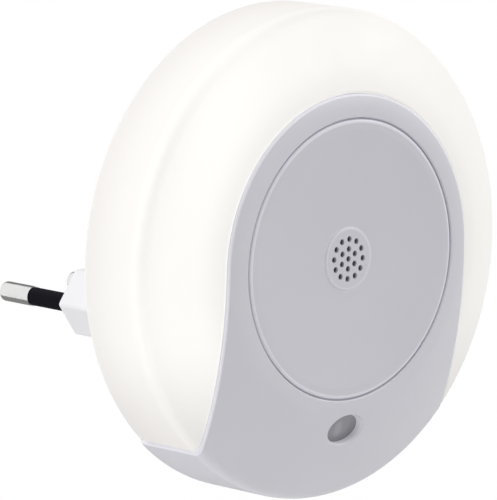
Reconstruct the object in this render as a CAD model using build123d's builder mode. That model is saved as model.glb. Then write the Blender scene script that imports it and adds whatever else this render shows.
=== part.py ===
from build123d import *
import os
from math import asin, atan, cos, degrees, hypot, radians, sin, sqrt, tan

# Plug-in night light: a round lamp with an opal light ring, a grey front that wraps round
# under it, a press button with a microphone grille, a light sensor, and a two-pin plug.
# Millimetres. The origin is the middle of the plug's face, between the pins. +Y runs along
# the pins into the wall, +Z is up, and the lamp looks along -Y. Depths are measured from
# the lamp's front plane towards the wall.

# ---- Lamp body ---------------------------------------------------------------------------
body_radius = 47.0            # flank of the light ring
front_to_plug_face = 70.6     # lamp's front plane to the plug's face
axis_above_pins = 16.5        # lamp's axis above the line of the pins
light_ring_width = 15.7       # from the flank to the grey ring, seen from the front
grey_ring_width = 4.65        # from the button to the light ring
ring_flat_width = 2.5         # flat stretch round the button, before the dome starts
ring_flat_depth = 0.2
corner_depth = 7.9            # dome and flank would meet here without their rounding
corner_round = 2.8
dome_curvature = 80.0
dome_blend = 12.0             # softens the line where the dome starts
shell_depth = 24.0            # rear edge of the light ring and of the front housing
shell_rear_round = 1.2
shell_wall = 2.0
housing_proud = 0.1           # grey front stands this far out of the light ring
seam_gap = 0.15               # gap between grey front and light ring
face_gap = 0.2                # gap between two shells along the lamp's axis

# ---- Grey front: a ring that runs down into a wide foot -----------------------------------
foot_flare = 0.9              # half of what the foot gains in width on its way down
outline_round = 0.5
opening_round = 0.4            # edge of the light ring along the grey front
housing_wall = 2.0
well_wall = 1.4
well_floor_depth = 9.0
well_floor_thickness = 1.5
well_rim_round = 0.3

# ---- Light ring's inner lip, held by the hooks of the grey front --------------------------
lip_width = 2.0
lip_root_width = 1.7
lip_thickness = 1.3
hook_angles = (30, 90, 150)
hook_width = 6.0
hook_reach = 0.9
hook_thickness = 1.1

# ---- Press button with its grille ---------------------------------------------------------
button_gap = 0.3              # open groove round the button
button_rim_depth = 0.1
button_rim_width = 1.95       # flat rim round the dish
button_edge_round = 0.5
button_dish = 1.3
button_thickness = 1.8
skirt_wall = 1.3
skirt_depth = 6.4
press_travel = 0.6
pad_radius = 6.05
pad_height = 0.35
pad_edge_round = 0.3
grille_hole_radius = 0.58
grille_pitch = 1.9
grille_turn = -3.0            # degrees
mesh_radius = 5.2
mesh_thickness = 0.3

# ---- Button guides, clips and spring ------------------------------------------------------
post_count = 3
post_inset = 7.5              # from the button's edge
post_radius = 1.9
post_clearance = 0.08
post_tip_radius = 1.5
post_tip_length = 2.0
bush_wall = 1.6
bush_height = 1.6
clip_radius = 3.5
clip_thickness = 0.6
clip_gap = 0.1
spring_radius = 9.2
spring_wire_radius = 0.45
spring_turns = 2.5
spring_seat_depth = 3.6
spring_seat_half_width = 1.1
spring_end_gap = 0.05

# ---- Microphone ---------------------------------------------------------------------------
microphone_radius = 3.0
microphone_height = 2.7
microphone_depth = 5.5
boot_wall = 0.85
boot_lip = 0.25
cup_wall = 1.1
lead_radius = 0.25
lead_pitch = 2.54
lead_hole_radius = 2.2
snug = 0.03                   # radial play of a seated round piece

# ---- Switch under the button ---------------------------------------------------------------
switch_clearance = 4.8        # from the spring to the middle of the switch, below it
switch_size = 6.0
switch_height = 3.5
plunger_radius = 1.75
plunger_bore_clearance = 0.08
plunger_reach = 4.4           # in front of the switch's body
plunger_seated_length = 2.0
plunger_end_gap = 0.3
actuator_radius = 1.5
actuator_gap = 0.1
actuator_hole_radius = 2.6

# ---- Light sensor behind its oval window ----------------------------------------------------
window_inset = 14.2           # above the lowest point of the body
window_half_width = 4.4
window_half_height = 2.8
window_recess = 1.6
window_rim_round = 0.5
window_collar_wall = 1.4
window_collar_depth = 5.2
lens_flange_thickness = 0.8
sensor_radius = 1.5
sensor_rim_radius = 1.9
sensor_depth = 6.8
sensor_length = 4.4
sensor_rim_thickness = 1.0

# ---- Circuit board and what it carries -------------------------------------------------------
board_recess = 4.0            # in front of the shells' rear edges
board_thickness = 1.6
board_clearance = 2.7         # between the board's edge and the light ring's wall
led_angles = tuple(range(-30, 211, 30))
led_inset = 4.1               # from the board's edge
led_length = 3.5
led_width = 2.8
led_height = 1.2
reflector_overhang = 0.3      # past the board's edge
reflector_inner_clearance = 0.1
reflector_wall = 0.9
reflector_front_depth = 6.0
reflector_floor_gap = 0.1
led_window_margin = 0.35
boss_window_margin = 0.4
capacitor_size = (18.0, 7.5, 13.0)
capacitor_place = (0.0, -2.5)
electrolytic_radius = 4.0
electrolytic_height = 11.0
electrolytic_place = (-6.0, -11.2)
rectifier_size = (6.5, 4.6, 2.6)
rectifier_place = (12.0, 10.0)
resistor_radius = 2.0
resistor_length = 9.0
resistor_place = (8.5, -13.0)
resistor_stand_off = 0.6
controller_size = (5.0, 4.0, 1.5)
controller_place = (-14.0, 12.0)
varistor_radius = 4.5
varistor_thickness = 3.2
varistor_place = (3.0, -21.0)
part_edge_round = 0.4

# ---- Rear cover -------------------------------------------------------------------------------
cover_wall = 2.0
cover_rim_inset = 1.5         # from the body's flank
cover_bulge_inset = 7.0
cover_back_inset = 17.0
cover_back_drop = 5.2         # depth of the dish behind its rim
cover_bulge_drop = 3.3
spigot_clearance = 0.25
spigot_wall = 1.6
spigot_height = 2.6
tower_base_inset = 3.0        # from the flat back of the dish
tower_base_drop = 6.0
tower_end_margin = 1.4        # round the plug's inner flange
tower_end_drop = 14.0
tower_end_round = 1.2
tower_end_wall = 2.0

# ---- Screws that hold the body together --------------------------------------------------------
screw_inset = 10.9            # from the body's flank
screw_angle = 48.4            # from the horizontal, one in each quarter
screw_shank_radius = 1.4
screw_length = 15.0
screw_head_radius = 2.75
screw_head_height = 1.7
screw_slot_width = 0.8
screw_slot_depth = 0.8
pilot_clearance = 0.05
pilot_extra_depth = 1.0
boss_radius = 3.2
through_hole_radius = 1.7
post_tube_radius = 4.2
head_clearance = 0.3
head_sink = 2.6               # screw head's seat behind the flat back

# ---- Plug: two 4 mm pins, 19 mm long, the half next to the plug insulated -------------------------
pin_spacing = 18.0
pin_radius = 2.0
pin_length = 19.0
sleeve_length = 10.0
sleeve_step = 0.16            # the sleeve is this much thinner than the bare pin
pin_core_radius = 1.45
pin_tip_round = 1.0
sleeve_seat = 7.0             # how far the sleeve runs back into the plug
nose_length = 17.6
nose_half_width = 11.8
nose_half_height = 6.5
nose_slant = 4.5
nose_edge_round = 0.8
nose_face_round = 0.5
nose_fit = 0.1
nose_flange_margin = 1.4
nose_flange_thickness = 2.2
pin_head_radius = 2.8
pin_head_thickness = 1.4
pin_tail_radius = 0.9
pin_tail_length = 2.6
wire_radius = 0.7
wire_pad_place = (14.5, -15.0)
wire_bend_radius = 3.0

# ---- Derived sizes ------------------------------------------------------------------------------
bezel_radius = body_radius - light_ring_width
button_radius = bezel_radius - grey_ring_width
ring_flat_radius = button_radius + ring_flat_width
foot_lean = degrees(atan(foot_flare / body_radius))
post_circle_radius = button_radius - post_inset
switch_offset = -spring_radius - switch_clearance
window_drop = body_radius - window_inset
well_radius = button_radius + button_gap
well_outer_radius = well_radius + well_wall
well_floor_rear = well_floor_depth + well_floor_thickness
board_depth = shell_depth - board_recess
board_rear = board_depth + board_thickness
switch_front_depth = board_depth - switch_height
plunger_depth = switch_front_depth - plunger_reach
board_radius = body_radius - shell_wall - board_clearance
led_circle_radius = board_radius - led_inset
reflector_inner_radius = bezel_radius - reflector_inner_clearance
reflector_outer_radius = board_radius + reflector_overhang
lip_radius = bezel_radius + seam_gap - lip_width
dish_radius = button_radius - button_rim_width
dish_curvature = (dish_radius**2 + button_dish**2) / (2 * button_dish)
dish_centre_depth = button_rim_depth + button_dish - dish_curvature
cover_front_depth = shell_depth + face_gap
cover_rim_radius = body_radius - cover_rim_inset
cover_bulge_radius = body_radius - cover_bulge_inset
cover_back_radius = body_radius - cover_back_inset
cover_bulge_depth = cover_front_depth + cover_bulge_drop
cover_back_depth = cover_front_depth + cover_back_drop
head_seat_depth = cover_back_depth - head_sink
tower_base_radius = cover_back_radius - tower_base_inset
tower_end_radius = nose_half_width + nose_flange_margin + tower_end_margin
tower_end_depth = front_to_plug_face - nose_length
tower_inner_end = tower_end_depth - tower_end_wall
sleeve_radius = pin_radius - sleeve_step
nose_root_depth = tower_inner_end - nose_flange_thickness
pin_head_depth = nose_root_depth - pin_head_thickness
pin_tail_depth = pin_head_depth - pin_tail_length
clip_depth = well_floor_rear + clip_gap
plunger_rear_depth = switch_front_depth + plunger_seated_length
screw_circle_radius = body_radius - screw_inset
screw_x = screw_circle_radius * cos(radians(screw_angle))
screw_z = screw_circle_radius * sin(radians(screw_angle))
screw_places = [(side * screw_x, end * screw_z) for side in (-1, 1) for end in (-1, 1)]
front_screw_places = [place for place in screw_places if place[1] < 0]
ring_screw_places = [place for place in screw_places if place[1] > 0]
post_angles = [90 + step * 360 / post_count for step in range(post_count)]

body_axis = Axis((0, -front_to_plug_face, axis_above_pins), (0, 1, 0))
body_section = Plane(origin=body_axis.position, x_dir=(1, 0, 0), z_dir=(0, 0, 1))


def facing_front(depth, height=axis_above_pins):
    """Plane that looks out of the lamp's front, this deep behind its front plane."""
    origin = (0, depth - front_to_plug_face, height)
    return Plane(origin=origin, x_dir=(1, 0, 0), z_dir=(0, -1, 0))


def on_circle(radius, angle):
    """Point on a circle about the lamp's axis, seen from the front."""
    return (radius * cos(radians(angle)), radius * sin(radians(angle)))


def dome_depth(radius, inset=0.0):
    """Depth of the dome at a radius, for a skin set in from the outer one."""
    run = body_radius - ring_flat_radius
    fall = corner_depth - ring_flat_depth
    half_chord = hypot(run, fall) / 2
    rise = sqrt(dome_curvature**2 - half_chord**2)
    centre_radius = (body_radius + ring_flat_radius) / 2 - rise * fall / (2 * half_chord)
    centre_depth = (corner_depth + ring_flat_depth) / 2 + rise * run / (2 * half_chord)
    return centre_depth - sqrt((dome_curvature - inset) ** 2 - (radius - centre_radius) ** 2)


def draw_body_form(inset, rear_depth, mode=Mode.ADD):
    """Half section of the lamp's form, set in from its outer skin, in the section sketch."""
    flat_depth = dome_depth(ring_flat_radius, inset)
    edge_radius = body_radius - inset
    edge_depth = dome_depth(edge_radius, inset)
    middle_radius = (ring_flat_radius + edge_radius) / 2
    with BuildSketch(mode=Mode.PRIVATE) as form:
        with BuildLine():
            Line((0, flat_depth), (ring_flat_radius, flat_depth))
            ThreePointArc(
                (ring_flat_radius, flat_depth),
                (middle_radius, dome_depth(middle_radius, inset)),
                (edge_radius, edge_depth),
            )
            Polyline((edge_radius, edge_depth), (edge_radius, rear_depth), (0, rear_depth), (0, flat_depth))
        make_face()
        corner = form.vertices().sort_by_distance((edge_radius, edge_depth))[0]
        fillet(corner, radius=corner_round - inset)
        dome_start = form.vertices().sort_by_distance((ring_flat_radius, flat_depth))[0]
        fillet(dome_start, radius=dome_blend - inset)
    add(form.sketch, mode=mode)


def draw_ring(inner_radius, outer_radius, front_depth, rear_depth, mode=Mode.ADD):
    """Rectangle in the section sketch that revolves into a ring or disc."""
    width = outer_radius - inner_radius
    with Locations((inner_radius, front_depth)):
        Rectangle(width, rear_depth - front_depth, align=(Align.MIN, Align.MIN), mode=mode)


def foot_side(margin):
    """Top and bottom of the foot's right side, which runs on smoothly from the ring's circle."""
    top = on_circle(bezel_radius + margin, foot_lean)
    reach = body_radius + corner_round
    return top, (top[0] + (top[1] + reach) * tan(radians(foot_lean)), -reach)


def draw_keyhole(margin=0.0):
    """Front view of the grey front: an arch whose sides run down into a foot."""
    (top_x, top_z), (end_x, end_z) = foot_side(margin)
    with BuildLine() as outline:
        CenterArc((0, 0), bezel_radius + margin, foot_lean, 180 - 2 * foot_lean)
        Polyline((-top_x, top_z), (-end_x, end_z), (end_x, end_z), (top_x, top_z))
    make_face(outline.edges())


def draw_foot(margin, mode):
    """The foot alone, from the lamp's axis to below the body."""
    (top_x, top_z), (end_x, end_z) = foot_side(margin)
    Polygon((-top_x, top_z), (-end_x, end_z), (end_x, end_z), (top_x, top_z), align=None, mode=mode)


def make_front_housing():
    """Grey front: ring, foot, button well with its floor, hooks, bosses and window collar."""
    with BuildPart() as housing:
        # Outer form, cut to the keyhole outline with a small round, then hollowed.
        with BuildSketch(body_section):
            draw_body_form(-housing_proud, shell_depth)
        revolve(axis=body_axis)
        with BuildSketch(facing_front(shell_depth + housing_wall)):
            draw_keyhole()
        extrude(amount=shell_depth + 2 * housing_wall, mode=Mode.INTERSECT)
        outline = housing.edges(Select.LAST)
        fillet(outline - outline.group_by(Axis.Y)[-1], radius=outline_round)
        with BuildSketch(body_section):
            draw_body_form(housing_wall, shell_depth + housing_wall)
        revolve(axis=body_axis, mode=Mode.SUBTRACT)
        # Round well for the button, with its floor.
        with BuildSketch(body_section):
            draw_ring(0, well_outer_radius, ring_flat_depth + housing_wall / 2, well_floor_rear)
        revolve(axis=body_axis)
        with BuildSketch(body_section):
            draw_ring(0, well_radius, -housing_wall, well_floor_depth)
        revolve(axis=body_axis, mode=Mode.SUBTRACT)
        fillet(housing.edges(Select.LAST).group_by(Axis.Y)[0], radius=well_rim_round)
        add_housing_guides()
        add_housing_hooks()
        add_bosses(front_screw_places, housing_wall)
        add_window_collar()
        window_edges = housing.edges(Select.LAST)
        fillet(window_edges.group_by(Axis.Y)[0], radius=window_rim_round)
    housing.part.label = "front_housing"
    return housing.part


def add_housing_guides():
    """Guide bushes, microphone cup and openings in the well's floor."""
    post_places = [on_circle(post_circle_radius, angle) for angle in post_angles]
    cup_radius = microphone_radius + boot_wall + cup_wall
    with BuildSketch(facing_front(well_floor_depth)) as profile:
        with Locations(*post_places):
            Circle(post_radius + bush_wall)
    extrude(profile.sketch, amount=bush_height)
    with BuildSketch(facing_front(well_floor_depth)) as profile:
        Circle(cup_radius)
    extrude(profile.sketch, amount=well_floor_depth - microphone_depth)
    with BuildSketch(facing_front(microphone_depth)) as profile:
        Circle(microphone_radius + boot_wall + snug)
    extrude(profile.sketch, amount=-(microphone_height + boot_lip), mode=Mode.SUBTRACT)
    with BuildSketch(facing_front(well_floor_rear)) as profile:
        with Locations(*post_places):
            Circle(post_radius + post_clearance)
        with Locations((0, switch_offset)):
            Circle(actuator_hole_radius)
        Circle(lead_hole_radius)
    extrude(profile.sketch, amount=well_floor_rear - microphone_depth, mode=Mode.SUBTRACT)


def add_housing_hooks():
    """Hooks on the well's wall that catch behind the light ring's lip."""
    hook_front = lip_rear_depth() + face_gap
    for angle in hook_angles:
        with BuildSketch(facing_front(hook_front + hook_thickness)) as profile:
            with Locations(on_circle(well_outer_radius, angle)):
                Rectangle(2 * hook_reach + 2 * well_wall, hook_width, rotation=angle)
            Circle(well_radius + well_wall / 2, mode=Mode.SUBTRACT)
        extrude(profile.sketch, amount=hook_thickness)


def lip_front_depth():
    """Front of the light ring's lip, just behind the grey ring."""
    return dome_depth(bezel_radius, housing_wall) + face_gap


def lip_rear_depth():
    """Rear of the light ring's lip, where the hooks catch it."""
    return lip_front_depth() + lip_thickness


def add_bosses(places, wall):
    """Screw bosses from the shell back to the circuit board, with their pilot holes."""
    farthest = max(hypot(*place) for place in places) + boss_radius
    with BuildSketch(facing_front(board_depth)) as profile:
        with Locations(*places):
            Circle(boss_radius)
    extrude(profile.sketch, amount=board_depth - dome_depth(farthest, wall / 2))
    pilot_depth = head_seat_depth - screw_length - pilot_extra_depth
    with BuildSketch(facing_front(board_depth)) as profile:
        with Locations(*places):
            Circle(screw_shank_radius + pilot_clearance)
    extrude(profile.sketch, amount=board_depth - pilot_depth, mode=Mode.SUBTRACT)


def add_window_collar():
    """Oval collar behind the sensor's window, and the window cut through it."""
    collar_half_width = window_half_width + window_collar_wall
    collar_half_height = window_half_height + window_collar_wall
    front = dome_depth(window_drop + collar_half_height, housing_wall / 2)
    with BuildSketch(facing_front(window_collar_depth)) as profile:
        with Locations((0, -window_drop)):
            Ellipse(collar_half_width, collar_half_height)
    extrude(profile.sketch, amount=window_collar_depth - front)
    with BuildSketch(facing_front(window_collar_depth)) as profile:
        with Locations((0, -window_drop)):
            Ellipse(window_half_width, window_half_height)
    extrude(profile.sketch, amount=window_collar_depth + housing_wall, mode=Mode.SUBTRACT)


def make_diffuser():
    """Opal light ring: dome, flank and inner lip, open at the bottom for the grey foot."""
    with BuildPart() as ring:
        # Outer form with its opening, rounded at the edge, then hollowed.
        with BuildSketch(body_section) as form:
            draw_body_form(0, shell_depth)
            rear_corner = form.vertices().sort_by_distance((body_radius, shell_depth))[0]
            fillet(rear_corner, radius=shell_rear_round)
        revolve(axis=body_axis)
        with BuildSketch(facing_front(shell_depth + shell_wall)):
            draw_keyhole(seam_gap)
        extrude(amount=shell_depth + 2 * shell_wall, mode=Mode.SUBTRACT)
        outline = ring.edges(Select.LAST)
        fillet(outline - outline.group_by(Axis.Y)[-1], radius=opening_round)
        with BuildSketch(body_section):
            draw_body_form(shell_wall, shell_depth + shell_wall)
        revolve(axis=body_axis, mode=Mode.SUBTRACT)
        # Inner lip, all round but for the foot.
        with BuildSketch(facing_front(lip_rear_depth())):
            Circle(bezel_radius + seam_gap + lip_root_width)
            Circle(lip_radius, mode=Mode.SUBTRACT)
            draw_foot(seam_gap, Mode.SUBTRACT)
        extrude(amount=lip_thickness)
        add_bosses(ring_screw_places, shell_wall)
    ring.part.label = "diffuser"
    return ring.part


def make_rear_cover():
    """Rear cover: shallow dish with a spigot, a tapered tower and screw posts."""
    spigot_radius = body_radius - shell_wall - spigot_clearance
    spigot_front = shell_depth - spigot_height
    with BuildPart() as cover:
        with BuildSketch(body_section):
            draw_dish(0)
        revolve(axis=body_axis)
        with BuildSketch(facing_front(cover_back_depth)):
            with Locations((0, -tower_base_drop)):
                Circle(tower_base_radius)
        with BuildSketch(facing_front(tower_end_depth)):
            with Locations((0, -tower_end_drop)):
                Circle(tower_end_radius)
        loft()
        fillet(cover.edges().group_by(Axis.Y)[-1], radius=tower_end_round)
        # Hollow dish and tower.
        with BuildSketch(body_section):
            draw_dish(cover_wall)
        revolve(axis=body_axis, mode=Mode.SUBTRACT)
        with BuildSketch(facing_front(cover_back_depth - cover_wall)):
            with Locations((0, -tower_base_drop)):
                Circle(tower_base_radius - cover_wall)
        with BuildSketch(facing_front(tower_inner_end)):
            with Locations((0, -tower_end_drop)):
                Circle(tower_end_radius - cover_wall / 2)
        loft(mode=Mode.SUBTRACT)
        # Spigot that centres the cover in the shells.
        with BuildSketch(body_section):
            spigot_root = cover_front_depth + cover_wall / 2
            draw_ring(spigot_radius - spigot_wall, spigot_radius, spigot_front, spigot_root)
        revolve(axis=body_axis)
        add_cover_posts()
        # Opening for the plug's nose.
        with BuildSketch(facing_front(tower_end_depth, 0)):
            draw_nose(nose_fit)
        extrude(amount=tower_end_wall, mode=Mode.SUBTRACT)
    cover.part.label = "rear_cover"
    return cover.part


def draw_dish(inset):
    """Half section of the dish, filled to the axis, set in from its outer skin."""
    rim_radius = cover_rim_radius - inset
    back_depth = cover_back_depth - inset
    with BuildLine() as outline:
        Line((0, cover_front_depth), (rim_radius, cover_front_depth))
        ThreePointArc(
            (rim_radius, cover_front_depth),
            (cover_bulge_radius - inset / 2, cover_bulge_depth - inset),
            (cover_back_radius, back_depth),
        )
        Polyline((cover_back_radius, back_depth), (0, back_depth), (0, cover_front_depth))
    make_face(outline.edges())


def add_cover_posts():
    """Tubes that press the circuit board against the bosses, sunk for the screw heads."""
    with BuildSketch(facing_front(cover_bulge_depth)) as profile:
        with Locations(*screw_places):
            Circle(post_tube_radius)
    extrude(profile.sketch, amount=cover_bulge_depth - board_rear)
    with BuildSketch(facing_front(cover_back_depth)) as profile:
        with Locations(*screw_places):
            Circle(screw_head_radius + head_clearance)
    extrude(profile.sketch, amount=cover_back_depth - head_seat_depth, mode=Mode.SUBTRACT)
    with BuildSketch(facing_front(cover_back_depth)) as profile:
        with Locations(*screw_places):
            Circle(through_hole_radius)
    extrude(profile.sketch, amount=cover_back_depth - board_rear, mode=Mode.SUBTRACT)


def draw_nose(margin=0.0):
    """Six-sided section of the plug, flat above and below, slanted at its ends."""
    half_width = nose_half_width + margin
    half_height = nose_half_height + margin
    flat_half_width = half_width - nose_slant
    Polygon(
        (-half_width, 0),
        (-flat_half_width, -half_height),
        (flat_half_width, -half_height),
        (half_width, 0),
        (flat_half_width, half_height),
        (-flat_half_width, half_height),
        align=None,
    )
    fillet(vertices(), radius=nose_edge_round)


def make_plug_body():
    """Plug nose with its inner flange and the stepped bores that hold the pins."""
    with BuildPart() as nose:
        with BuildSketch(facing_front(front_to_plug_face, 0)):
            draw_nose()
        extrude(amount=front_to_plug_face - nose_root_depth)
        fillet(nose.faces().sort_by(Axis.Y)[-1].edges(), radius=nose_face_round)
        with BuildSketch(facing_front(tower_inner_end, 0)):
            draw_nose(nose_flange_margin)
        extrude(amount=nose_flange_thickness)
        with BuildSketch(facing_front(front_to_plug_face, 0)):
            with GridLocations(pin_spacing, 0, 2, 1):
                Circle(sleeve_radius + snug)
        extrude(amount=sleeve_seat, mode=Mode.SUBTRACT)
        with BuildSketch(facing_front(front_to_plug_face, 0)):
            with GridLocations(pin_spacing, 0, 2, 1):
                Circle(pin_core_radius + snug)
        extrude(amount=front_to_plug_face - nose_root_depth, mode=Mode.SUBTRACT)
    nose.part.label = "plug_body"
    return nose.part


def make_pin(side, label):
    """Turned pin: bare tip, thin core under the sleeve, head inside the plug, tail."""
    offset = side * pin_spacing / 2
    section = Plane(origin=(offset, 0, 0), x_dir=(1, 0, 0), z_dir=(0, 0, 1))
    head_front = pin_head_depth - front_to_plug_face
    head_rear = nose_root_depth - front_to_plug_face
    with BuildPart() as pin:
        with BuildSketch(section) as outline:
            with BuildLine():
                Polyline(
                    (0, pin_tail_depth - front_to_plug_face),
                    (pin_tail_radius, pin_tail_depth - front_to_plug_face),
                    (pin_tail_radius, head_front),
                    (pin_head_radius, head_front),
                    (pin_head_radius, head_rear),
                    (pin_core_radius, head_rear),
                    (pin_core_radius, sleeve_length),
                    (pin_radius, sleeve_length),
                    (pin_radius, pin_length),
                    (0, pin_length),
                    close=True,
                )
            make_face()
            tip = outline.vertices().sort_by_distance((pin_radius, pin_length))[0]
            fillet(tip, radius=pin_tip_round)
        revolve(axis=Axis((offset, 0, 0), (0, 1, 0)))
    pin.part.label = label
    return pin.part


def make_pin_sleeve(side, label):
    """Insulating sleeve on the half of a pin next to the plug."""
    with BuildPart() as sleeve:
        with BuildSketch(Plane.XZ.offset(-sleeve_length)):
            with Locations((side * pin_spacing / 2, 0)):
                Circle(sleeve_radius)
                Circle(pin_core_radius + snug, mode=Mode.SUBTRACT)
        extrude(amount=sleeve_length + sleeve_seat)
    sleeve.part.label = label
    return sleeve.part


def make_front_button():
    """Dished button: skirt, grille pad, guide posts, spring seat and switch actuator."""
    with BuildPart() as button:
        with BuildSketch(body_section) as outline:
            with BuildLine():
                draw_dish_arc(dish_radius)
                Polyline(
                    (dish_radius, button_rim_depth),
                    (button_radius, button_rim_depth),
                    (button_radius, skirt_depth),
                    (0, skirt_depth),
                    (0, dish_depth(0)),
                )
            make_face()
            rim = outline.vertices().sort_by_distance((button_radius, button_rim_depth))[0]
            fillet(rim, radius=button_edge_round)
        revolve(axis=body_axis)
        # Hollow underside, dished like the front.
        inner_radius = button_radius - skirt_wall
        with BuildSketch(body_section):
            with BuildLine():
                draw_dish_arc(inner_radius, button_thickness)
                Polyline(
                    (inner_radius, dish_depth(inner_radius, button_thickness)),
                    (inner_radius, skirt_depth),
                    (0, skirt_depth),
                    (0, dish_depth(0, button_thickness)),
                )
            make_face()
        revolve(axis=body_axis, mode=Mode.SUBTRACT)
        add_grille_pad()
        add_button_posts()
    button.part.label = "front_button"
    return button.part


def dish_depth(radius, inset=0.0):
    """Depth of the button's dished front, or of a skin behind it, at a radius."""
    return dish_centre_depth + sqrt((dish_curvature + inset) ** 2 - radius**2)


def draw_dish_arc(edge_radius, inset=0.0):
    """Arc of the dished front, or of a skin behind it, from the axis to an edge."""
    curvature = dish_curvature + inset
    half_angle = degrees(asin(edge_radius / curvature))
    CenterArc((0, dish_centre_depth), curvature, 90 - half_angle, half_angle)


def add_grille_pad():
    """Raised pad with three rings of sound holes."""
    pad_front = dish_depth(0) - pad_height
    pad_rear = dish_depth(0, button_thickness)
    with BuildSketch(body_section) as profile:
        draw_ring(0, pad_radius, pad_front, pad_rear)
        rim = profile.vertices().sort_by_distance((pad_radius, pad_front))[0]
        fillet(rim, radius=pad_edge_round)
    revolve(profile.sketch, axis=body_axis)
    hole_places = [(0, 0)]
    for ring, count in ((1, 6), (2, 12)):
        for step in range(count):
            hole_places.append(on_circle(ring * grille_pitch, 90 + grille_turn + step * 360 / count))
    with BuildSketch(facing_front(pad_rear)) as profile:
        with Locations(*hole_places):
            Circle(grille_hole_radius)
    extrude(profile.sketch, amount=pad_rear, mode=Mode.SUBTRACT)


def add_button_posts():
    """Guide posts, the flat ring that the spring bears on, and the switch actuator."""
    post_places = [on_circle(post_circle_radius, angle) for angle in post_angles]
    root_depth = dish_depth(0, button_thickness / 2)
    with BuildSketch(facing_front(clip_depth)) as profile:
        with Locations(*post_places):
            Circle(post_radius)
    extrude(profile.sketch, amount=clip_depth - root_depth)
    with BuildSketch(facing_front(clip_depth + post_tip_length)) as profile:
        with Locations(*post_places):
            Circle(post_tip_radius)
    extrude(profile.sketch, amount=post_tip_length)
    with BuildSketch(facing_front(spring_seat_depth)) as profile:
        Circle(spring_radius + spring_seat_half_width)
        Circle(spring_radius - spring_seat_half_width, mode=Mode.SUBTRACT)
    extrude(profile.sketch, amount=spring_seat_depth - root_depth)
    with BuildSketch(facing_front(plunger_depth - actuator_gap)) as profile:
        with Locations((0, switch_offset)):
            Circle(actuator_radius)
    extrude(profile.sketch, amount=plunger_depth - actuator_gap - root_depth)


def make_acoustic_mesh():
    """Felt disc behind the sound holes."""
    rear = dish_depth(0, button_thickness) + mesh_thickness
    with BuildPart() as mesh:
        with BuildSketch(facing_front(rear)):
            Circle(mesh_radius)
        extrude(amount=mesh_thickness)
    mesh.part.label = "acoustic_mesh"
    return mesh.part


def make_button_clips():
    """Spring washers pushed on the ends of the guide posts."""
    with BuildPart() as clips:
        with BuildSketch(facing_front(clip_depth + clip_thickness)):
            with Locations(*[on_circle(post_circle_radius, angle) for angle in post_angles]):
                Circle(clip_radius)
                Circle(post_tip_radius + snug, mode=Mode.SUBTRACT)
        extrude(amount=clip_thickness)
    clips.part.label = "button_clips"
    return clips.part


def make_return_spring():
    """Coil spring between the button and the floor of its well."""
    play = spring_wire_radius + spring_end_gap
    height = well_floor_depth - spring_seat_depth - 2 * play
    start = facing_front(well_floor_depth - play)
    with BuildPart() as spring:
        with BuildLine() as coil:
            Helix(height / spring_turns, height, spring_radius, center=start.origin, direction=start.z_dir)
        with BuildSketch(Plane(origin=coil.line @ 0, z_dir=coil.line % 0)):
            Circle(spring_wire_radius)
        sweep(path=coil.line, is_frenet=True)
    spring.part.label = "return_spring"
    return spring.part


def make_microphone():
    """Electret capsule with its two leads down to the circuit board."""
    rear = microphone_depth + boot_lip + microphone_height
    with BuildPart() as capsule:
        with BuildSketch(facing_front(rear)):
            Circle(microphone_radius)
        extrude(amount=microphone_height)
        with BuildSketch(facing_front(board_depth)):
            with GridLocations(lead_pitch, 0, 2, 1):
                Circle(lead_radius)
        extrude(amount=board_depth - rear)
    capsule.part.label = "microphone"
    return capsule.part


def make_microphone_boot():
    """Rubber boot round the capsule, with a lip over its front."""
    with BuildPart() as boot:
        with BuildSketch(body_section):
            draw_ring(
                microphone_radius + snug,
                microphone_radius + boot_wall,
                microphone_depth,
                microphone_depth + boot_lip + microphone_height,
            )
            draw_ring(
                microphone_radius - boot_wall,
                microphone_radius + boot_wall,
                microphone_depth,
                microphone_depth + boot_lip,
            )
        revolve(axis=body_axis)
    boot.part.label = "microphone_boot"
    return boot.part


def make_switch_base():
    """Body of the small switch under the button, with the bore for its plunger."""
    bore_depth = plunger_rear_depth + press_travel + plunger_end_gap
    with BuildPart() as base:
        with BuildSketch(facing_front(board_depth)):
            with Locations((0, switch_offset)):
                RectangleRounded(switch_size, switch_size, part_edge_round)
        extrude(amount=switch_height)
        with BuildSketch(facing_front(bore_depth)):
            with Locations((0, switch_offset)):
                Circle(plunger_radius + plunger_bore_clearance)
        extrude(amount=bore_depth - switch_front_depth, mode=Mode.SUBTRACT)
    base.part.label = "switch_base"
    return base.part


def make_switch_plunger():
    """Plunger of the small switch."""
    with BuildPart() as plunger:
        with BuildSketch(facing_front(plunger_rear_depth)):
            with Locations((0, switch_offset)):
                Circle(plunger_radius)
        extrude(amount=plunger_rear_depth - plunger_depth)
        fillet(plunger.edges().group_by(Axis.Y)[0], radius=part_edge_round)
    plunger.part.label = "switch_plunger"
    return plunger.part


def make_sensor_lens():
    """Smoked lens in the oval window: it follows the dome a little below its skin."""
    flange_rear = window_collar_depth + lens_flange_thickness
    with BuildPart() as lens:
        with BuildSketch(facing_front(flange_rear)):
            with Locations((0, -window_drop)):
                Ellipse(window_half_width - snug, window_half_height - snug)
        extrude(amount=flange_rear)
        with BuildSketch(body_section):
            draw_body_form(window_recess - housing_proud, shell_depth)
        revolve(axis=body_axis, mode=Mode.INTERSECT)
        with BuildSketch(facing_front(flange_rear)):
            with Locations((0, -window_drop)):
                Ellipse(window_half_width + window_collar_wall, window_half_height + window_collar_wall)
        extrude(amount=lens_flange_thickness)
    lens.part.label = "sensor_lens"
    return lens.part


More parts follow.
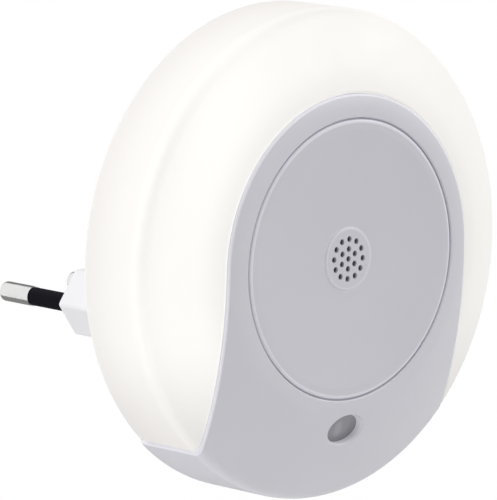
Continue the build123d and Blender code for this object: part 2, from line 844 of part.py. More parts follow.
def make_light_sensor():
    """Round phototransistor that looks out of the window, on two leads."""
    centre = Plane(
        origin=(0, -front_to_plug_face, axis_above_pins - window_drop), x_dir=(1, 0, 0), z_dir=(0, 0, 1)
    )
    rear = sensor_depth + sensor_length
    dome_run = sensor_radius * sin(radians(45))
    with BuildPart() as sensor:
        with BuildSketch(centre):
            with BuildLine():
                ThreePointArc(
                    (0, sensor_depth),
                    (dome_run, sensor_depth + sensor_radius - dome_run),
                    (sensor_radius, sensor_depth + sensor_radius),
                )
                Polyline(
                    (sensor_radius, sensor_depth + sensor_radius),
                    (sensor_radius, rear - sensor_rim_thickness),
                    (sensor_rim_radius, rear - sensor_rim_thickness),
                    (sensor_rim_radius, rear),
                    (0, rear),
                    (0, sensor_depth),
                )
            make_face()
        revolve(axis=Axis(centre.origin, (0, 1, 0)))
        with BuildSketch(facing_front(board_depth)):
            with Locations((0, -window_drop)):
                with GridLocations(lead_pitch / 2, 0, 2, 1):
                    Circle(lead_radius)
        extrude(amount=board_depth - rear)
    sensor.part.label = "light_sensor"
    return sensor.part


def make_main_board():
    """Round circuit board, clamped between the bosses and the cover's posts."""
    with BuildPart() as board:
        with BuildSketch(facing_front(board_rear)):
            Circle(board_radius)
            with Locations(*screw_places):
                Circle(through_hole_radius, mode=Mode.SUBTRACT)
        extrude(amount=board_thickness)
    board.part.label = "main_board"
    return board.part


def make_leds():
    """Light-emitting diodes along the light ring, none behind the grey foot."""
    with BuildPart() as leds:
        with BuildSketch(facing_front(board_depth)):
            for angle in led_angles:
                with Locations(on_circle(led_circle_radius, angle)):
                    Rectangle(led_width, led_length, rotation=angle)
        extrude(amount=led_height)
    leds.part.label = "leds"
    return leds.part


def make_reflector():
    """White ring that throws the light forward: floor with windows and an inner wall."""
    floor_rear = board_depth - reflector_floor_gap
    floor_front = floor_rear - reflector_wall
    wall_outer = reflector_inner_radius + reflector_wall
    window_width = led_width + 2 * led_window_margin
    window_length = led_length + 2 * led_window_margin
    with BuildPart() as reflector:
        with BuildSketch(body_section):
            draw_ring(reflector_inner_radius, reflector_outer_radius, floor_front, floor_rear)
            draw_ring(reflector_inner_radius, wall_outer, reflector_front_depth, floor_rear)
        revolve(axis=body_axis)
        with BuildSketch(facing_front(board_depth)):
            for angle in led_angles:
                with Locations(on_circle(led_circle_radius, angle)):
                    Rectangle(window_width, window_length, rotation=angle)
            with Locations(*screw_places):
                Circle(boss_radius + boss_window_margin)
            with Locations((0, -window_drop)):
                Circle(window_half_width + window_collar_wall + boss_window_margin)
        extrude(amount=board_depth, mode=Mode.SUBTRACT)
    reflector.part.label = "reflector"
    return reflector.part


def make_block(label, size, place):
    """Box-shaped component on the rear of the circuit board."""
    width, height, depth = size
    with BuildPart() as block:
        with BuildSketch(facing_front(board_rear)):
            with Locations(place):
                RectangleRounded(width, height, part_edge_round)
        extrude(amount=-depth)
    block.part.label = label
    return block.part


def make_electrolytic_capacitor():
    """Can-shaped capacitor standing on the board."""
    with BuildPart() as can:
        with BuildSketch(facing_front(board_rear)):
            with Locations(electrolytic_place):
                Circle(electrolytic_radius)
        extrude(amount=-electrolytic_height)
        fillet(can.edges().group_by(Axis.Y)[-1], radius=part_edge_round)
    can.part.label = "electrolytic_capacitor"
    return can.part


def make_fusible_resistor():
    """Fusible resistor standing on end, held off the board by its lead."""
    with BuildPart() as resistor:
        with BuildSketch(facing_front(board_rear)):
            with Locations(resistor_place):
                Circle(lead_radius)
        extrude(amount=-resistor_stand_off)
        with BuildSketch(facing_front(board_rear + resistor_stand_off)):
            with Locations(resistor_place):
                Circle(resistor_radius)
        extrude(amount=-resistor_length)
        fillet(resistor.edges().group_by(Axis.Y)[-1], radius=part_edge_round)
    resistor.part.label = "fusible_resistor"
    return resistor.part


def make_varistor():
    """Flat round varistor standing on its edge."""
    rest = board_rear + varistor_radius - part_edge_round
    with BuildPart() as disc:
        centre = (varistor_place[0], rest - front_to_plug_face, axis_above_pins + varistor_place[1])
        with BuildSketch(Plane(origin=centre, x_dir=(1, 0, 0), z_dir=(0, 0, 1))):
            Circle(varistor_radius)
        extrude(amount=varistor_thickness / 2, both=True)
        split(bisect_by=facing_front(board_rear), keep=Keep.BOTTOM)
    disc.part.label = "varistor"
    return disc.part


def make_wire(side, label):
    """Insulated wire from a pin's tail to its pad on the circuit board."""
    pin_x = side * pin_spacing / 2
    pad_x = side * wire_pad_place[0]
    pad_z = axis_above_pins + wire_pad_place[1]
    start_y = pin_tail_depth - front_to_plug_face
    end_y = board_rear - front_to_plug_face
    third = (start_y - end_y) / 3
    with BuildPart() as wire:
        with BuildLine() as route:
            FilletPolyline(
                (pin_x, start_y, 0),
                (pin_x, start_y - third, 0),
                (pad_x, end_y + third, pad_z),
                (pad_x, end_y, pad_z),
                radius=wire_bend_radius,
            )
        with BuildSketch(Plane(origin=route.line @ 0, z_dir=route.line % 0)):
            Circle(wire_radius)
        sweep(path=route.line)
    wire.part.label = label
    return wire.part


def make_housing_screws():
    """Four screws from the rear cover through the board into the bosses."""
    with BuildPart() as screws:
        with BuildSketch(facing_front(head_seat_depth)):
            with Locations(*screw_places):
                Circle(screw_shank_radius)
        extrude(amount=screw_length)
        with BuildSketch(facing_front(head_seat_depth + screw_head_height)):
            with Locations(*screw_places):
                Circle(screw_head_radius)
        extrude(amount=screw_head_height)
        with BuildSketch(facing_front(head_seat_depth + screw_head_height)):
            for angle in (0, 90):
                with Locations(*screw_places):
                    Rectangle(2 * screw_shank_radius, screw_slot_width, rotation=angle)
        extrude(amount=screw_slot_depth, mode=Mode.SUBTRACT)
    screws.part.label = "housing_screws"
    return screws.part


pieces = [
    make_front_housing(),
    make_diffuser(),
    make_rear_cover(),
    make_plug_body(),
    make_pin(-1, "pin_left"),
    make_pin(1, "pin_right"),
    make_pin_sleeve(-1, "pin_sleeve_left"),
    make_pin_sleeve(1, "pin_sleeve_right"),
    make_front_button(),
    make_acoustic_mesh(),
    make_button_clips(),
    make_return_spring(),
    make_microphone(),
    make_microphone_boot(),
    make_switch_base(),
    make_switch_plunger(),
    make_sensor_lens(),
    make_light_sensor(),
    make_main_board(),
    make_leds(),
    make_reflector(),
    make_block("film_capacitor", capacitor_size, capacitor_place),
    make_electrolytic_capacitor(),
    make_block("bridge_rectifier", rectifier_size, rectifier_place),
    make_fusible_resistor(),
    make_block("controller_chip", controller_size, controller_place),
    make_varistor(),
    make_wire(-1, "live_wire"),
    make_wire(1, "neutral_wire"),
    make_housing_screws(),
]

os.makedirs("parts", exist_ok=True)
for piece in pieces:
    export_step(piece, f"parts/{piece.label}.step")
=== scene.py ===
import bpy
from math import radians
from mathutils import Euler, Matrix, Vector


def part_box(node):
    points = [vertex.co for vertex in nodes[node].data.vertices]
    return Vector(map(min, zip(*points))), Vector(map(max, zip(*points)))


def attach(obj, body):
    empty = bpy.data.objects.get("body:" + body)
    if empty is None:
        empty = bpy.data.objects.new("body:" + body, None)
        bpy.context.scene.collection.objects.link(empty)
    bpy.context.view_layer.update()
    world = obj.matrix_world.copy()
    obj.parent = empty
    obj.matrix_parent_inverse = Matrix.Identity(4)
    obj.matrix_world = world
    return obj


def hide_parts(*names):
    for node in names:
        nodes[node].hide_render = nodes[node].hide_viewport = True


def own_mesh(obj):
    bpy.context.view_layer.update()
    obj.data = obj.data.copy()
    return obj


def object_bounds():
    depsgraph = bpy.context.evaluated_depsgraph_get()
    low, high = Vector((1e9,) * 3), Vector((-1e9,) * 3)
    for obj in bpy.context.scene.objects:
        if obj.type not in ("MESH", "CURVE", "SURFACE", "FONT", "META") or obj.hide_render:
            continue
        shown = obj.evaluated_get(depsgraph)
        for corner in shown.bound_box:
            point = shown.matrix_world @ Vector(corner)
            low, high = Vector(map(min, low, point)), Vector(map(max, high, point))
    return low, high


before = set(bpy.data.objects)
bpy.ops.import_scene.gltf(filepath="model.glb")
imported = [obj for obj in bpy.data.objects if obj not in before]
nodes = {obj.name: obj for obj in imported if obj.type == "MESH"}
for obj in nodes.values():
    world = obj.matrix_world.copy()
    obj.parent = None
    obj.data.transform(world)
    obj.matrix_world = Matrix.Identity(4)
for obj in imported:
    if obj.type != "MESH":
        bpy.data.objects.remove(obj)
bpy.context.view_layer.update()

MM = 0.001
BLACK = (0.0, 0.0, 0.0)
WHITE = (1.0, 1.0, 1.0)

# ---- Camera ----------------------------------------------------------------------------------
CAMERA_PLACE = (-0.65719, -0.72951, 0.17122)
CAMERA_TURN = (80.661, -0.3834, -43.6529)     # degrees about X, Y and Z
CAMERA_LENS = 360.0                           # millimetres, as is the sensor
CAMERA_SENSOR = 36.0
CAMERA_NEAR = 0.05
CAMERA_FAR = 30.0

# ---- Stage and light -------------------------------------------------------------------------
FLOOR_WIDTH = 12.0
FLOOR_DROP = 0.16             # below the lowest point of the lamp, which hangs on its plug
FLOOR_COLOUR = (0.86, 0.86, 0.86)
FLOOR_TONE = 0.01
FLOOR_ROUGHNESS = 0.9
FLOOR_LIFT = 0.24             # added for the camera, so that the lit floor reads white
WORLD_STRENGTH = 0.42         # light that falls on the lamp; the camera and the gloss see white
FLAG_COLOUR = (0.28, 0.28, 0.28)
FLAG_ROUGHNESS = 0.9
FLAGS = {                                     # place from the middle of the pins, width and height
    "low_flag": ((0.03, 0.10, -0.10), (0.24, 0.12)),
    "rear_flag": ((0.33, 0.43, 0.12), (0.36, 0.50)),
}
LAMPS = {                                     # place, width, watts, and whether gloss shows it
    "key": ((1.25, -1.0, 0.9), 1.0, 14.0, True),
    "back": ((-0.6, 1.2, 0.8), 0.8, 14.0, False),
    "low": ((-0.5, -0.15, -0.14), 0.3, 0.84, False),
    "top": ((0.1, -0.3, 1.3), 0.8, 4.1, True),
}

# ---- Colours of what can be seen from outside ------------------------------------------------
GREY_COLOUR = (0.643, 0.637, 0.682)
BUTTON_COLOUR = (0.612, 0.605, 0.649)
OPAL_COLOUR = (0.80, 0.768, 0.745)
PLUG_COLOUR = (0.85, 0.84, 0.865)
SLEEVE_COLOUR = (0.005, 0.0045, 0.0075)
NICKEL_COLOUR = (0.78, 0.78, 0.775)
SCREW_COLOUR = (0.6, 0.6, 0.6)
SMOKED_COLOUR = (0.34, 0.34, 0.365)
FELT_COLOUR = (0.03, 0.03, 0.035)

# ---- Colours of the pieces inside ------------------------------------------------------------
SPRING_COLOUR = (0.55, 0.55, 0.56)
CAPSULE_COLOUR = (0.75, 0.75, 0.76)
EPOXY_COLOUR = (0.8, 0.82, 0.85)
SOLDER_MASK_COLOUR = (0.02, 0.11, 0.04)
COPPER_UNDER_MASK_COLOUR = (0.05, 0.22, 0.09)
INNER_PLASTICS = {                            # colour, roughness and pieces of each
    "boot_rubber": ((0.02, 0.02, 0.02), 0.7, ["microphone_boot"]),
    "component_black": ((0.02, 0.02, 0.022), 0.5, ["switch_base", "bridge_rectifier", "controller_chip"]),
    "plunger_plastic": ((0.6, 0.08, 0.06), 0.4, ["switch_plunger"]),
    "led_phosphor": ((0.9, 0.75, 0.2), 0.35, ["leds"]),
    "reflector_white": ((0.9, 0.9, 0.9), 0.5, ["reflector"]),
    "capacitor_yellow": ((0.75, 0.55, 0.08), 0.3, ["film_capacitor"]),
    "capacitor_sleeve": ((0.03, 0.04, 0.08), 0.3, ["electrolytic_capacitor"]),
    "resistor_coat": ((0.35, 0.55, 0.6), 0.5, ["fusible_resistor"]),
    "varistor_coat": ((0.05, 0.12, 0.45), 0.3, ["varistor"]),
    "wire_brown": ((0.18, 0.07, 0.03), 0.4, ["live_wire"]),
    "wire_blue": ((0.03, 0.15, 0.5), 0.4, ["neutral_wire"]),
}

# ---- Noises: how many features per metre, and how much detail --------------------------------
FLOW_NOISE = (45, 2.0)                        # tone of moulded plastic
GLOSS_NOISE = (220, 3.0)
GRAIN_DETAIL = 4.0
TARNISH_NOISE = (300, 2.0)                    # tone of metal
MARKS_NOISE = (4000, 3.0)
COPPER_NOISE = (260, 0.0)
MASK_NOISE = (500, 3.0)
FLOOR_NOISE = (3, 3.0)
NOISE_START = 0.3                             # most of a noise lies between these two
NOISE_END = 0.7
GLOSS_SPREAD = 0.04
GRAIN_DEPTH = 0.004 * MM
GRAIN_SCALE = 9000
MARKS_DEPTH = 0.001 * MM
MARKS_SPREAD = (-0.03, 0.05)
TARNISH_SHADES = (0.95, 1.04)
EVEN = (1.0, 1.0, 1.0)                        # scale of a noise along X, Y and Z
ALONG_PINS = (1.0, 0.04, 1.0)
ALONG_CAPSULE = (1.0, 0.1, 1.0)

# ---- The lamp's axis, front, button and window, from the frame -------------------------------
ring_low, ring_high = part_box("diffuser")
button_low, button_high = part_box("front_button")
lens_low, lens_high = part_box("sensor_lens")
LAMP_AXIS_Z = ring_high.z - (ring_high.x - ring_low.x) / 2
LAMP_FRONT_Y = button_low.y
BUTTON_RADIUS = (button_high.x - button_low.x) / 2
WINDOW_DROP = LAMP_AXIS_Z - (lens_low.z + lens_high.z) / 2

# ---- Edges in the front view -----------------------------------------------------------------
OPENING_RADIUS = 31.45 * MM                   # arch of the light ring's opening
OPENING_FLARE = 0.9 / 47                      # what its sides gain in width on their way down
GROOVE_GAP = 0.3 * MM
PAD_RADIUS = 5.95 * MM
WINDOW_HALF_SIZE = (4.4 * MM, 2.8 * MM)
LENS_HIGHLIGHT_SHIFT = -0.5 * MM                      # middle of the painted highlight on the lens, from the window's middle
LENS_HIGHLIGHT_HALF_SIZE = (1.0 * MM, 1.6 * MM)

# ---- Runs of the LEDs' glow in the light ring, and of painted light in it --------------------
# A run eases from one value to another: where it starts, where it ends, and its value at both.
GLOW_COLOUR = (0.354, 0.372, 0.361)
GLOW_FROM_AXIS = (31 * MM, 38 * MM, 0.72, 1.0)
GLOW_ON_DOME = (5 * MM, 12 * MM, 1.0, 0.55)         # depth behind the lamp's front
GLOW_ON_FLANK = (12 * MM, 26 * MM, 1.0, 0.5)
GLOW_ABOVE_FOOT = (-42 * MM, -10 * MM, 0.2, 1.0)    # height, nought at the lamp's axis
PAINTED_SIDE_GLOW = (-36 * MM, 6 * MM, 1.0, 0.45)       # painted light: the glow is stronger on one side
PAINTED_GLOW_FROM_OPENING = (0.0, 0.7 * MM, 2.3, 1.0)       # painted light: the inner edge glows more than the rest, where shade falls

# ---- Runs of painted light on the walls of groove and window, behind the lamp's front --------
PAINTED_LIGHT_COLOUR = (0.17, 0.17, 0.178)
PAINTED_LIGHT_IN_GROOVE = (0.4 * MM, 1.2 * MM, 0.0, 0.5)
PAINTED_LIGHT_IN_WINDOW = (0.7 * MM, 1.5 * MM, 0.0, 1.0)

# ---- Painted light and shade: how much paler a colour gets, and darker below nought ----------
PAINTED_BORDER_LIGHT = (-0.55 * MM, -0.3 * MM, 0.0, 0.3)     # painted light from the light ring: run towards the ring
PAINTED_RIM_HIGHLIGHT = (-0.85 * MM, -0.6 * MM, 0.0, 0.22)       # painted highlight: run towards the button's rounded edge
PAINTED_PAD_EDGE_LIGHT = (0.25 * MM, 0.55 * MM, 0.12, 0.0)   # painted light on the pad's edge: run away from the step round the pad
PAINTED_HOLES_SHADE = (1.25 * MM, 1.6 * MM, 0.0, -0.55)      # painted shade: run down the sound holes
PAINTED_LENS_HIGHLIGHT = (0.5, 1.3, 0.22, 0.0)                 # painted highlight on the lens: run away from the spot's middle
# Painted light on the groove's walls.
PAINTED_GROOVE_LIGHT = 0.05
PAINTED_WINDOW_SHADE = -0.22                                 # painted shade on its wall, where painted light adds some back

# ---- Runs that pick out a place: 1 on it and nought off it -----------------------------------
ON_GROOVE_WALLS = (0.175 * MM, 0.25 * MM, 1.0, 0.0)     # away from the groove's middle
ON_WINDOW_WALL = (1.0, 1.05, 1.0, 0.0)                  # where 1 is the window's outline
NEAR_HOLES = (5.0 * MM, 5.3 * MM, 1.0, 0.0)             # away from the lamp's axis
NEAR_LAMP = (0.25, 0.7, 1.0, 0.0)                       # on the floor, which fades out further on


# ---- Nodes -----------------------------------------------------------------------------------
def new_material(name):
    """Material with its node tree and main shader."""
    material = bpy.data.materials.new(name)
    material.use_nodes = True
    tree = material.node_tree
    return material, tree, tree.nodes["Principled BSDF"]


def compute(tree, operation, first, second=0.0):
    """Result of a calculation with two values, each a socket or a number."""
    step = tree.nodes.new("ShaderNodeMath")
    step.operation = operation
    for socket, value in zip(step.inputs, (first, second)):
        if isinstance(value, (int, float)):
            socket.default_value = value
        else:
            tree.links.new(value, socket)
    return step.outputs["Value"]


def ease(tree, value, start, end, low, high, interpolation="SMOOTHSTEP"):
    """Run from low at the start to high at the end, and level beyond them."""
    run = tree.nodes.new("ShaderNodeMapRange")
    run.interpolation_type = interpolation
    run.inputs["From Min"].default_value = start
    run.inputs["From Max"].default_value = end
    run.inputs["To Min"].default_value = low
    run.inputs["To Max"].default_value = high
    tree.links.new(value, run.inputs["Value"])
    return run.outputs["Result"]


def blend_colours(tree, factor, first, second, start=0.0, end=1.0):
    """Colour that runs evenly from the first at the start to the second at the end."""
    ramp = tree.nodes.new("ShaderNodeValToRGB")
    for element, position, colour in zip(ramp.color_ramp.elements, (start, end), (first, second)):
        element.position = position
        element.color = (*colour, 1.0)
    tree.links.new(factor, ramp.inputs["Fac"])
    return ramp.outputs["Color"]


def find_place(tree):
    """Place of a point of the piece: across, behind the lamp's front, and above its axis."""
    place = tree.nodes.new("ShaderNodeTexCoord")
    axes = tree.nodes.new("ShaderNodeSeparateXYZ")
    tree.links.new(place.outputs["Object"], axes.inputs["Vector"])
    depth = compute(tree, "SUBTRACT", axes.outputs["Y"], LAMP_FRONT_Y)
    up = compute(tree, "SUBTRACT", axes.outputs["Z"], LAMP_AXIS_Z)
    return axes.outputs["X"], depth, up


def find_length(tree, across, up):
    """Length of a line from its width and height."""
    line = tree.nodes.new("ShaderNodeCombineXYZ")
    tree.links.new(across, line.inputs["X"])
    tree.links.new(up, line.inputs["Z"])
    length = tree.nodes.new("ShaderNodeVectorMath")
    length.operation = "LENGTH"
    tree.links.new(line.outputs["Vector"], length.inputs[0])
    return length.outputs["Value"]


def add_noise(tree, scale, detail, stretch=EVEN):
    """Noise in the object's own space; scale counts features per metre."""
    place = tree.nodes.new("ShaderNodeTexCoord")
    mapping = tree.nodes.new("ShaderNodeMapping")
    noise = tree.nodes.new("ShaderNodeTexNoise")
    mapping.inputs["Scale"].default_value = stretch
    noise.inputs["Scale"].default_value = scale
    noise.inputs["Detail"].default_value = detail
    tree.links.new(place.outputs["Object"], mapping.inputs["Vector"])
    tree.links.new(mapping.outputs["Vector"], noise.inputs["Vector"])
    return noise.outputs["Fac"]


def spread_noise(tree, noise, low, high):
    """Values between low and high that follow a noise."""
    return ease(tree, noise, NOISE_START, NOISE_END, low, high, "LINEAR")


def shade(colour, factor):
    """Colour made lighter or darker."""
    return tuple(min(channel * factor, 1.0) for channel in colour)


def add_tint(tree, shader, noise, first, second):
    """Lets the shader's colour run between two with a noise."""
    tint = blend_colours(tree, noise, first, second, NOISE_START, NOISE_END)
    tree.links.new(tint, shader.inputs["Base Color"])


def add_gloss(tree, shader, noise, low, high):
    """Lets the shader's roughness run between two values with a noise."""
    tree.links.new(spread_noise(tree, noise, low, high), shader.inputs["Roughness"])


def add_bump(tree, shader, height, depth):
    """Bump of a depth in metres on the shader's normal."""
    bump = tree.nodes.new("ShaderNodeBump")
    bump.inputs["Distance"].default_value = depth
    tree.links.new(height, bump.inputs["Height"])
    tree.links.new(bump.outputs["Normal"], shader.inputs["Normal"])


def add_glow(tree, shader, share, colour):
    """Lets the shader shine by a share of a colour of light, and by no more than all of it."""
    shader.inputs["Emission Strength"].default_value = 1.0
    tree.links.new(blend_colours(tree, share, BLACK, colour), shader.inputs["Emission Color"])


def lift_colour(tree, shader, painted_lift):
    """Paints light and shade into the shader's colour: paler where the value is above nought, darker
    below.
    """
    before = shader.inputs["Base Color"].links[0].from_socket
    scale = tree.nodes.new("ShaderNodeVectorMath")
    scale.operation = "SCALE"
    tree.links.new(before, scale.inputs["Vector"])
    tree.links.new(compute(tree, "ADD", painted_lift, 1.0), scale.inputs["Scale"])
    tree.links.new(scale.outputs["Vector"], shader.inputs["Base Color"])


# ---- Places in the front view ----------------------------------------------------------------
def opening_edge(tree, across, up):
    """Distance from the light ring's opening, above nought in the light ring."""
    arch = find_length(tree, across, compute(tree, "MAXIMUM", up, 0.0))
    flare = compute(tree, "MULTIPLY", compute(tree, "MINIMUM", up, 0.0), OPENING_FLARE)
    return compute(tree, "SUBTRACT", compute(tree, "ADD", arch, flare), OPENING_RADIUS)


def distance_from(tree, radius, circle):
    """Distance from a circle round the lamp's axis, to either side."""
    return compute(tree, "ABSOLUTE", compute(tree, "SUBTRACT", radius, circle))


def groove_walls(tree, radius):
    """1 on the two round walls of the groove round the button."""
    return ease(tree, distance_from(tree, radius, BUTTON_RADIUS + GROOVE_GAP / 2), *ON_GROOVE_WALLS)


def window_reach(tree, across, up, shift, half_size):
    """Distance from the middle of an oval at the window, 1 on the oval's outline."""
    wide = compute(tree, "DIVIDE", compute(tree, "SUBTRACT", across, shift), half_size[0])
    high = compute(tree, "DIVIDE", compute(tree, "ADD", up, WINDOW_DROP), half_size[1])
    return find_length(tree, wide, high)


# ---- Finishes --------------------------------------------------------------------------------
def moulded_plastic(name, colour, roughness, tone=0.02, grain_depth=GRAIN_DEPTH, grain_scale=GRAIN_SCALE):
    """Injection-moulded plastic: fine grain, faint flow tone and uneven gloss."""
    material, tree, shader = new_material(name)
    add_tint(tree, shader, add_noise(tree, *FLOW_NOISE), shade(colour, 1 - tone), shade(colour, 1 + tone))
    gloss = add_noise(tree, *GLOSS_NOISE)
    add_gloss(tree, shader, gloss, roughness - GLOSS_SPREAD, roughness + GLOSS_SPREAD)
    add_bump(tree, shader, add_noise(tree, grain_scale, GRAIN_DETAIL), grain_depth)
    return material, tree, shader


def drawn_metal(name, colour, roughness, stretch=EVEN):
    """Turned or drawn metal with fine marks along one direction."""
    material, tree, shader = new_material(name)
    shader.inputs["Metallic"].default_value = 1.0
    marks = add_noise(tree, *MARKS_NOISE, stretch)
    tones = [shade(colour, factor) for factor in TARNISH_SHADES]
    add_tint(tree, shader, add_noise(tree, *TARNISH_NOISE), *tones)
    add_gloss(tree, shader, marks, *(roughness + change for change in MARKS_SPREAD))
    add_bump(tree, shader, marks, MARKS_DEPTH)
    return material


def opal_plastic():
    """Milky light ring, lit from inside by the ring of LEDs behind its dome, with painted light: more
    glow on one side and along the inner edge.
    """
    material, tree, shader = moulded_plastic(
        "opal_plastic", OPAL_COLOUR, roughness=0.48, tone=0.008, grain_depth=GRAIN_DEPTH / 2
    )
    across, depth, up = find_place(tree)
    runs = (
        (find_length(tree, across, up), GLOW_FROM_AXIS),
        (depth, GLOW_ON_DOME),
        (depth, GLOW_ON_FLANK),
        (up, GLOW_ABOVE_FOOT),
        (across, PAINTED_SIDE_GLOW),
    )
    # The glow carries painted light: stronger on one side and along the inner edge.
    glow = ease(tree, opening_edge(tree, across, up), *PAINTED_GLOW_FROM_OPENING)
    for place, run in runs:
        glow = compute(tree, "MULTIPLY", glow, ease(tree, place, *run))
    add_glow(tree, shader, glow, GLOW_COLOUR)
    return material


def grey_plastic():
    """Grey front with painted light along the light ring and on the walls of groove and window, and
    painted shade on the window's wall.
    """
    material, tree, shader = moulded_plastic("grey_plastic", GREY_COLOUR, roughness=0.42, tone=0.012)
    across, depth, up = find_place(tree)
    groove = groove_walls(tree, find_length(tree, across, up))
    window = ease(tree, window_reach(tree, across, up, 0.0, WINDOW_HALF_SIZE), *ON_WINDOW_WALL)
    # Painted light on the walls of groove and window, deep behind the front.
    painted_groove_light = compute(tree, "MULTIPLY", groove, ease(tree, depth, *PAINTED_LIGHT_IN_GROOVE))
    painted_window_light = compute(tree, "MULTIPLY", window, ease(tree, depth, *PAINTED_LIGHT_IN_WINDOW))
    add_glow(tree, shader, compute(tree, "ADD", painted_groove_light, painted_window_light), PAINTED_LIGHT_COLOUR)
    # Painted light along the light ring's edge and on the groove's walls, painted shade on the window's
    # wall.
    painted_lift = ease(tree, opening_edge(tree, across, up), *PAINTED_BORDER_LIGHT)
    for wall, wall_painted_lift in ((groove, PAINTED_GROOVE_LIGHT), (window, PAINTED_WINDOW_SHADE)):
        painted_lift = compute(tree, "ADD", painted_lift, compute(tree, "MULTIPLY", wall, wall_painted_lift))
    lift_colour(tree, shader, painted_lift)
    return material


def button_plastic():
    """Grey button with painted highlights along its rim, painted light round its pad and in the groove,
    and painted shade down the sound holes.
    """
    material, tree, shader = moulded_plastic("button_plastic", BUTTON_COLOUR, roughness=0.42, tone=0.012)
    across, depth, up = find_place(tree)
    radius = find_length(tree, across, up)
    groove = groove_walls(tree, radius)
    # Painted light on the groove's wall.
    painted_groove_light = compute(tree, "MULTIPLY", groove, ease(tree, depth, *PAINTED_LIGHT_IN_GROOVE))
    add_glow(tree, shader, painted_groove_light, PAINTED_LIGHT_COLOUR)
    # Painted highlight on the rim, painted light round the pad and on the groove's wall, painted shade
    # down the sound holes.
    rim = ease(tree, compute(tree, "SUBTRACT", radius, BUTTON_RADIUS), *PAINTED_RIM_HIGHLIGHT)
    edge = compute(tree, "MAXIMUM", rim, compute(tree, "MULTIPLY", groove, PAINTED_GROOVE_LIGHT))
    pad = ease(tree, distance_from(tree, radius, PAD_RADIUS), *PAINTED_PAD_EDGE_LIGHT)
    holes = compute(tree, "MULTIPLY", ease(tree, radius, *NEAR_HOLES), ease(tree, depth, *PAINTED_HOLES_SHADE))
    lift_colour(tree, shader, compute(tree, "ADD", edge, compute(tree, "ADD", pad, holes)))
    return material


def smoked_window():
    """Glossy smoked plastic of the sensor's window, with a painted highlight: a paler spot left of its
    middle.
    """
    material, tree, shader = moulded_plastic(
        "smoked_lens", SMOKED_COLOUR, roughness=0.16, tone=0.06, grain_depth=0.0
    )
    shader.inputs["Transmission Weight"].default_value = 0.1
    shader.inputs["IOR"].default_value = 1.49
    across, _, up = find_place(tree)
    # Painted highlight: a paler spot left of the lens's middle.
    reach = window_reach(tree, across, up, LENS_HIGHLIGHT_SHIFT, LENS_HIGHLIGHT_HALF_SIZE)
    lift_colour(tree, shader, ease(tree, reach, *PAINTED_LENS_HIGHLIGHT))
    return material


def clear_epoxy():
    """Water-clear body of the light sensor."""
    material, _, shader = moulded_plastic("clear_epoxy", EPOXY_COLOUR, roughness=0.1, grain_depth=0.0)
    shader.inputs["Transmission Weight"].default_value = 0.7
    return material


def black_sleeve():
    """Dull black insulation of the pins."""
    material, _, shader = moulded_plastic("black_sleeve", SLEEVE_COLOUR, roughness=0.5, tone=0.1)
    shader.inputs["Specular IOR Level"].default_value = 0.04
    return material


def felt():
    """Black felt behind the sound holes."""
    material, _, shader = moulded_plastic(
        "dark_felt", FELT_COLOUR, roughness=0.95, tone=0.3, grain_depth=0.1 * MM, grain_scale=6000
    )
    shader.inputs["Sheen Weight"].default_value = 0.4
    return material


def board_laminate():
    """Green solder mask with paler blotches where copper lies under it."""
    material, tree, shader = new_material("board_laminate")
    copper = add_noise(tree, *COPPER_NOISE)
    add_tint(tree, shader, copper, SOLDER_MASK_COLOUR, COPPER_UNDER_MASK_COLOUR)
    add_gloss(tree, shader, add_noise(tree, *MASK_NOISE), low=0.28, high=0.4)
    add_bump(tree, shader, copper, depth=0.03 * MM)
    return material


# ---- Dressing the CAD nodes ------------------------------------------------------------------
def paint(material, *names):
    """Gives a material to CAD nodes."""
    for name in names:
        node = nodes[name]
        node.data.materials.clear()
        node.data.materials.append(material)


def dress_outside():
    """Materials of what can be seen from outside."""
    paint(grey_plastic(), "front_housing")
    paint(button_plastic(), "front_button")
    paint(opal_plastic(), "diffuser")
    white_plastic, _, _ = moulded_plastic("white_plastic", PLUG_COLOUR, roughness=0.36, tone=0.01)
    paint(white_plastic, "rear_cover", "plug_body")
    paint(black_sleeve(), "pin_sleeve_left", "pin_sleeve_right")
    nickel = drawn_metal("nickel_plate", NICKEL_COLOUR, roughness=0.14, stretch=ALONG_PINS)
    paint(nickel, "pin_left", "pin_right")
    paint(drawn_metal("screw_steel", SCREW_COLOUR, roughness=0.3), "housing_screws")
    paint(smoked_window(), "sensor_lens")
    paint(felt(), "acoustic_mesh")


def dress_inside():
    """Materials of the pieces inside the housing."""
    for name, (colour, roughness, pieces) in INNER_PLASTICS.items():
        plastic, _, _ = moulded_plastic(name, colour, roughness)
        paint(plastic, *pieces)
    paint(drawn_metal("spring_steel", SPRING_COLOUR, roughness=0.25), "return_spring", "button_clips")
    aluminium = drawn_metal("capsule_aluminium", CAPSULE_COLOUR, roughness=0.3, stretch=ALONG_CAPSULE)
    paint(aluminium, "microphone")
    paint(clear_epoxy(), "light_sensor")
    paint(board_laminate(), "main_board")


# ---- Objects of the scene --------------------------------------------------------------------
def add_object(name, data):
    """Object that shows a mesh, a lamp or a camera in the scene."""
    thing = bpy.data.objects.new(name, data)
    bpy.context.scene.collection.objects.link(thing)
    return thing


def add_card(name, width, height, level=0.0):
    """Flat card in the scene, which faces up."""
    corners = ((-1, -1), (1, -1), (1, 1), (-1, 1))
    mesh = bpy.data.meshes.new(name)
    mesh.from_pydata([(sx * width / 2, sy * height / 2, level) for sx, sy in corners], [], [(0, 1, 2, 3)])
    return add_object(name, mesh)


def add_soft_spring():
    """Copy of the return spring with its own mesh, on the lamp's body, in place of the rigid one, which
    is hidden.
    """
    spring = add_object("soft_return_spring", nodes["return_spring"].data.copy())
    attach(spring, "lamp_body")
    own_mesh(spring)
    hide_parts("return_spring")


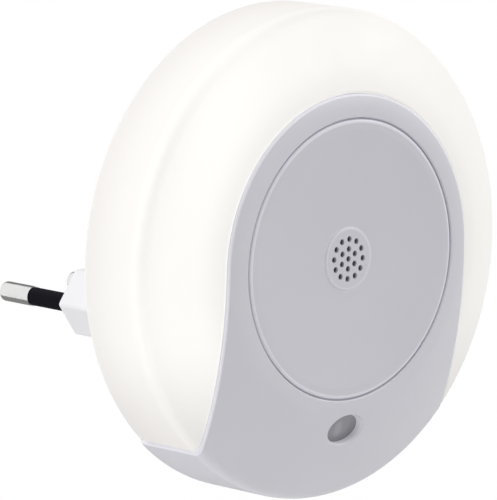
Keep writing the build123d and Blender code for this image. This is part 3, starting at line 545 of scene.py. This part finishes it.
def add_camera():
    """Camera at the photograph's place."""
    data = bpy.data.cameras.new("camera")
    data.sensor_width = CAMERA_SENSOR
    data.lens = CAMERA_LENS
    data.clip_start = CAMERA_NEAR
    data.clip_end = CAMERA_FAR
    camera = add_object("camera", data)
    camera.location = CAMERA_PLACE
    camera.rotation_euler = Euler([radians(angle) for angle in CAMERA_TURN])
    bpy.context.scene.camera = camera


def add_floor():
    """Plain pale floor under the lamp, which fades out into the white ground."""
    floor = add_card("floor", FLOOR_WIDTH, FLOOR_WIDTH, level=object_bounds()[0].z - FLOOR_DROP)
    material, tree, shader = new_material("floor")
    tones = (shade(FLOOR_COLOUR, 1 - FLOOR_TONE), shade(FLOOR_COLOUR, 1 + FLOOR_TONE))
    add_tint(tree, shader, add_noise(tree, *FLOOR_NOISE), *tones)
    shader.inputs["Roughness"].default_value = FLOOR_ROUGHNESS
    shader.inputs["Specular IOR Level"].default_value = 0.0
    seen = tree.nodes.new("ShaderNodeLightPath").outputs["Is Camera Ray"]
    shader.inputs["Emission Color"].default_value = (*WHITE, 1.0)
    tree.links.new(compute(tree, "MULTIPLY", seen, FLOOR_LIFT), shader.inputs["Emission Strength"])
    axes = tree.nodes.new("ShaderNodeSeparateXYZ")
    tree.links.new(tree.nodes.new("ShaderNodeTexCoord").outputs["Object"], axes.inputs["Vector"])
    distance = find_length(tree, axes.outputs["X"], axes.outputs["Y"])
    tree.links.new(ease(tree, distance, *NEAR_LAMP), shader.inputs["Alpha"])
    floor.data.materials.append(material)


def add_world():
    """Even studio light, with a white ground for what the camera and the gloss see."""
    world = bpy.data.worlds.new("studio")
    world.use_nodes = True
    bpy.context.scene.world = world
    tree = world.node_tree
    ground = tree.nodes["Background"]
    ground.inputs["Color"].default_value = (*WHITE, 1.0)
    rays = tree.nodes.new("ShaderNodeLightPath").outputs
    seen = compute(tree, "MAXIMUM", rays["Is Camera Ray"], rays["Is Transmission Ray"])
    seen_or_glossy = compute(tree, "MAXIMUM", seen, rays["Is Glossy Ray"])
    strength = ease(tree, seen_or_glossy, 0.0, 1.0, WORLD_STRENGTH, 1.0, "LINEAR")
    tree.links.new(strength, ground.inputs["Strength"])


def add_flag(name, place, size):
    """Dark card that faces the pins and that only gloss sees, so that bright metal shows its form."""
    flag = add_card(name, *size)
    material, _, _ = moulded_plastic(name, FLAG_COLOUR, FLAG_ROUGHNESS)
    flag.data.materials.append(material)
    pins_middle = (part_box("pin_left")[0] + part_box("pin_right")[1]) / 2
    flag.location = pins_middle + Vector(place)
    flag.rotation_euler = (-Vector(place)).to_track_quat("Z", "Y").to_euler()
    flag.visible_camera = False
    flag.visible_diffuse = False
    flag.visible_transmission = False
    flag.visible_shadow = False


def add_lamp(name, place, width, power, in_gloss):
    """Square soft box that faces the object, and that gloss shows or doesn't."""
    data = bpy.data.lights.new(name, "AREA")
    data.shape = "SQUARE"
    data.size = width
    data.energy = power
    lamp = add_object(name, data)
    lamp.location = place
    lamp.visible_glossy = in_gloss
    target = Vector((0, LAMP_FRONT_Y / 2, LAMP_AXIS_Z))
    lamp.rotation_euler = (target - Vector(place)).to_track_quat("-Z", "Y").to_euler()


bpy.context.scene.view_settings.view_transform = "Standard"
dress_outside()
dress_inside()
add_soft_spring()
add_camera()
add_floor()
add_world()
for name, flag in FLAGS.items():
    add_flag(name, *flag)
for name, lamp in LAMPS.items():
    add_lamp(name, *lamp)
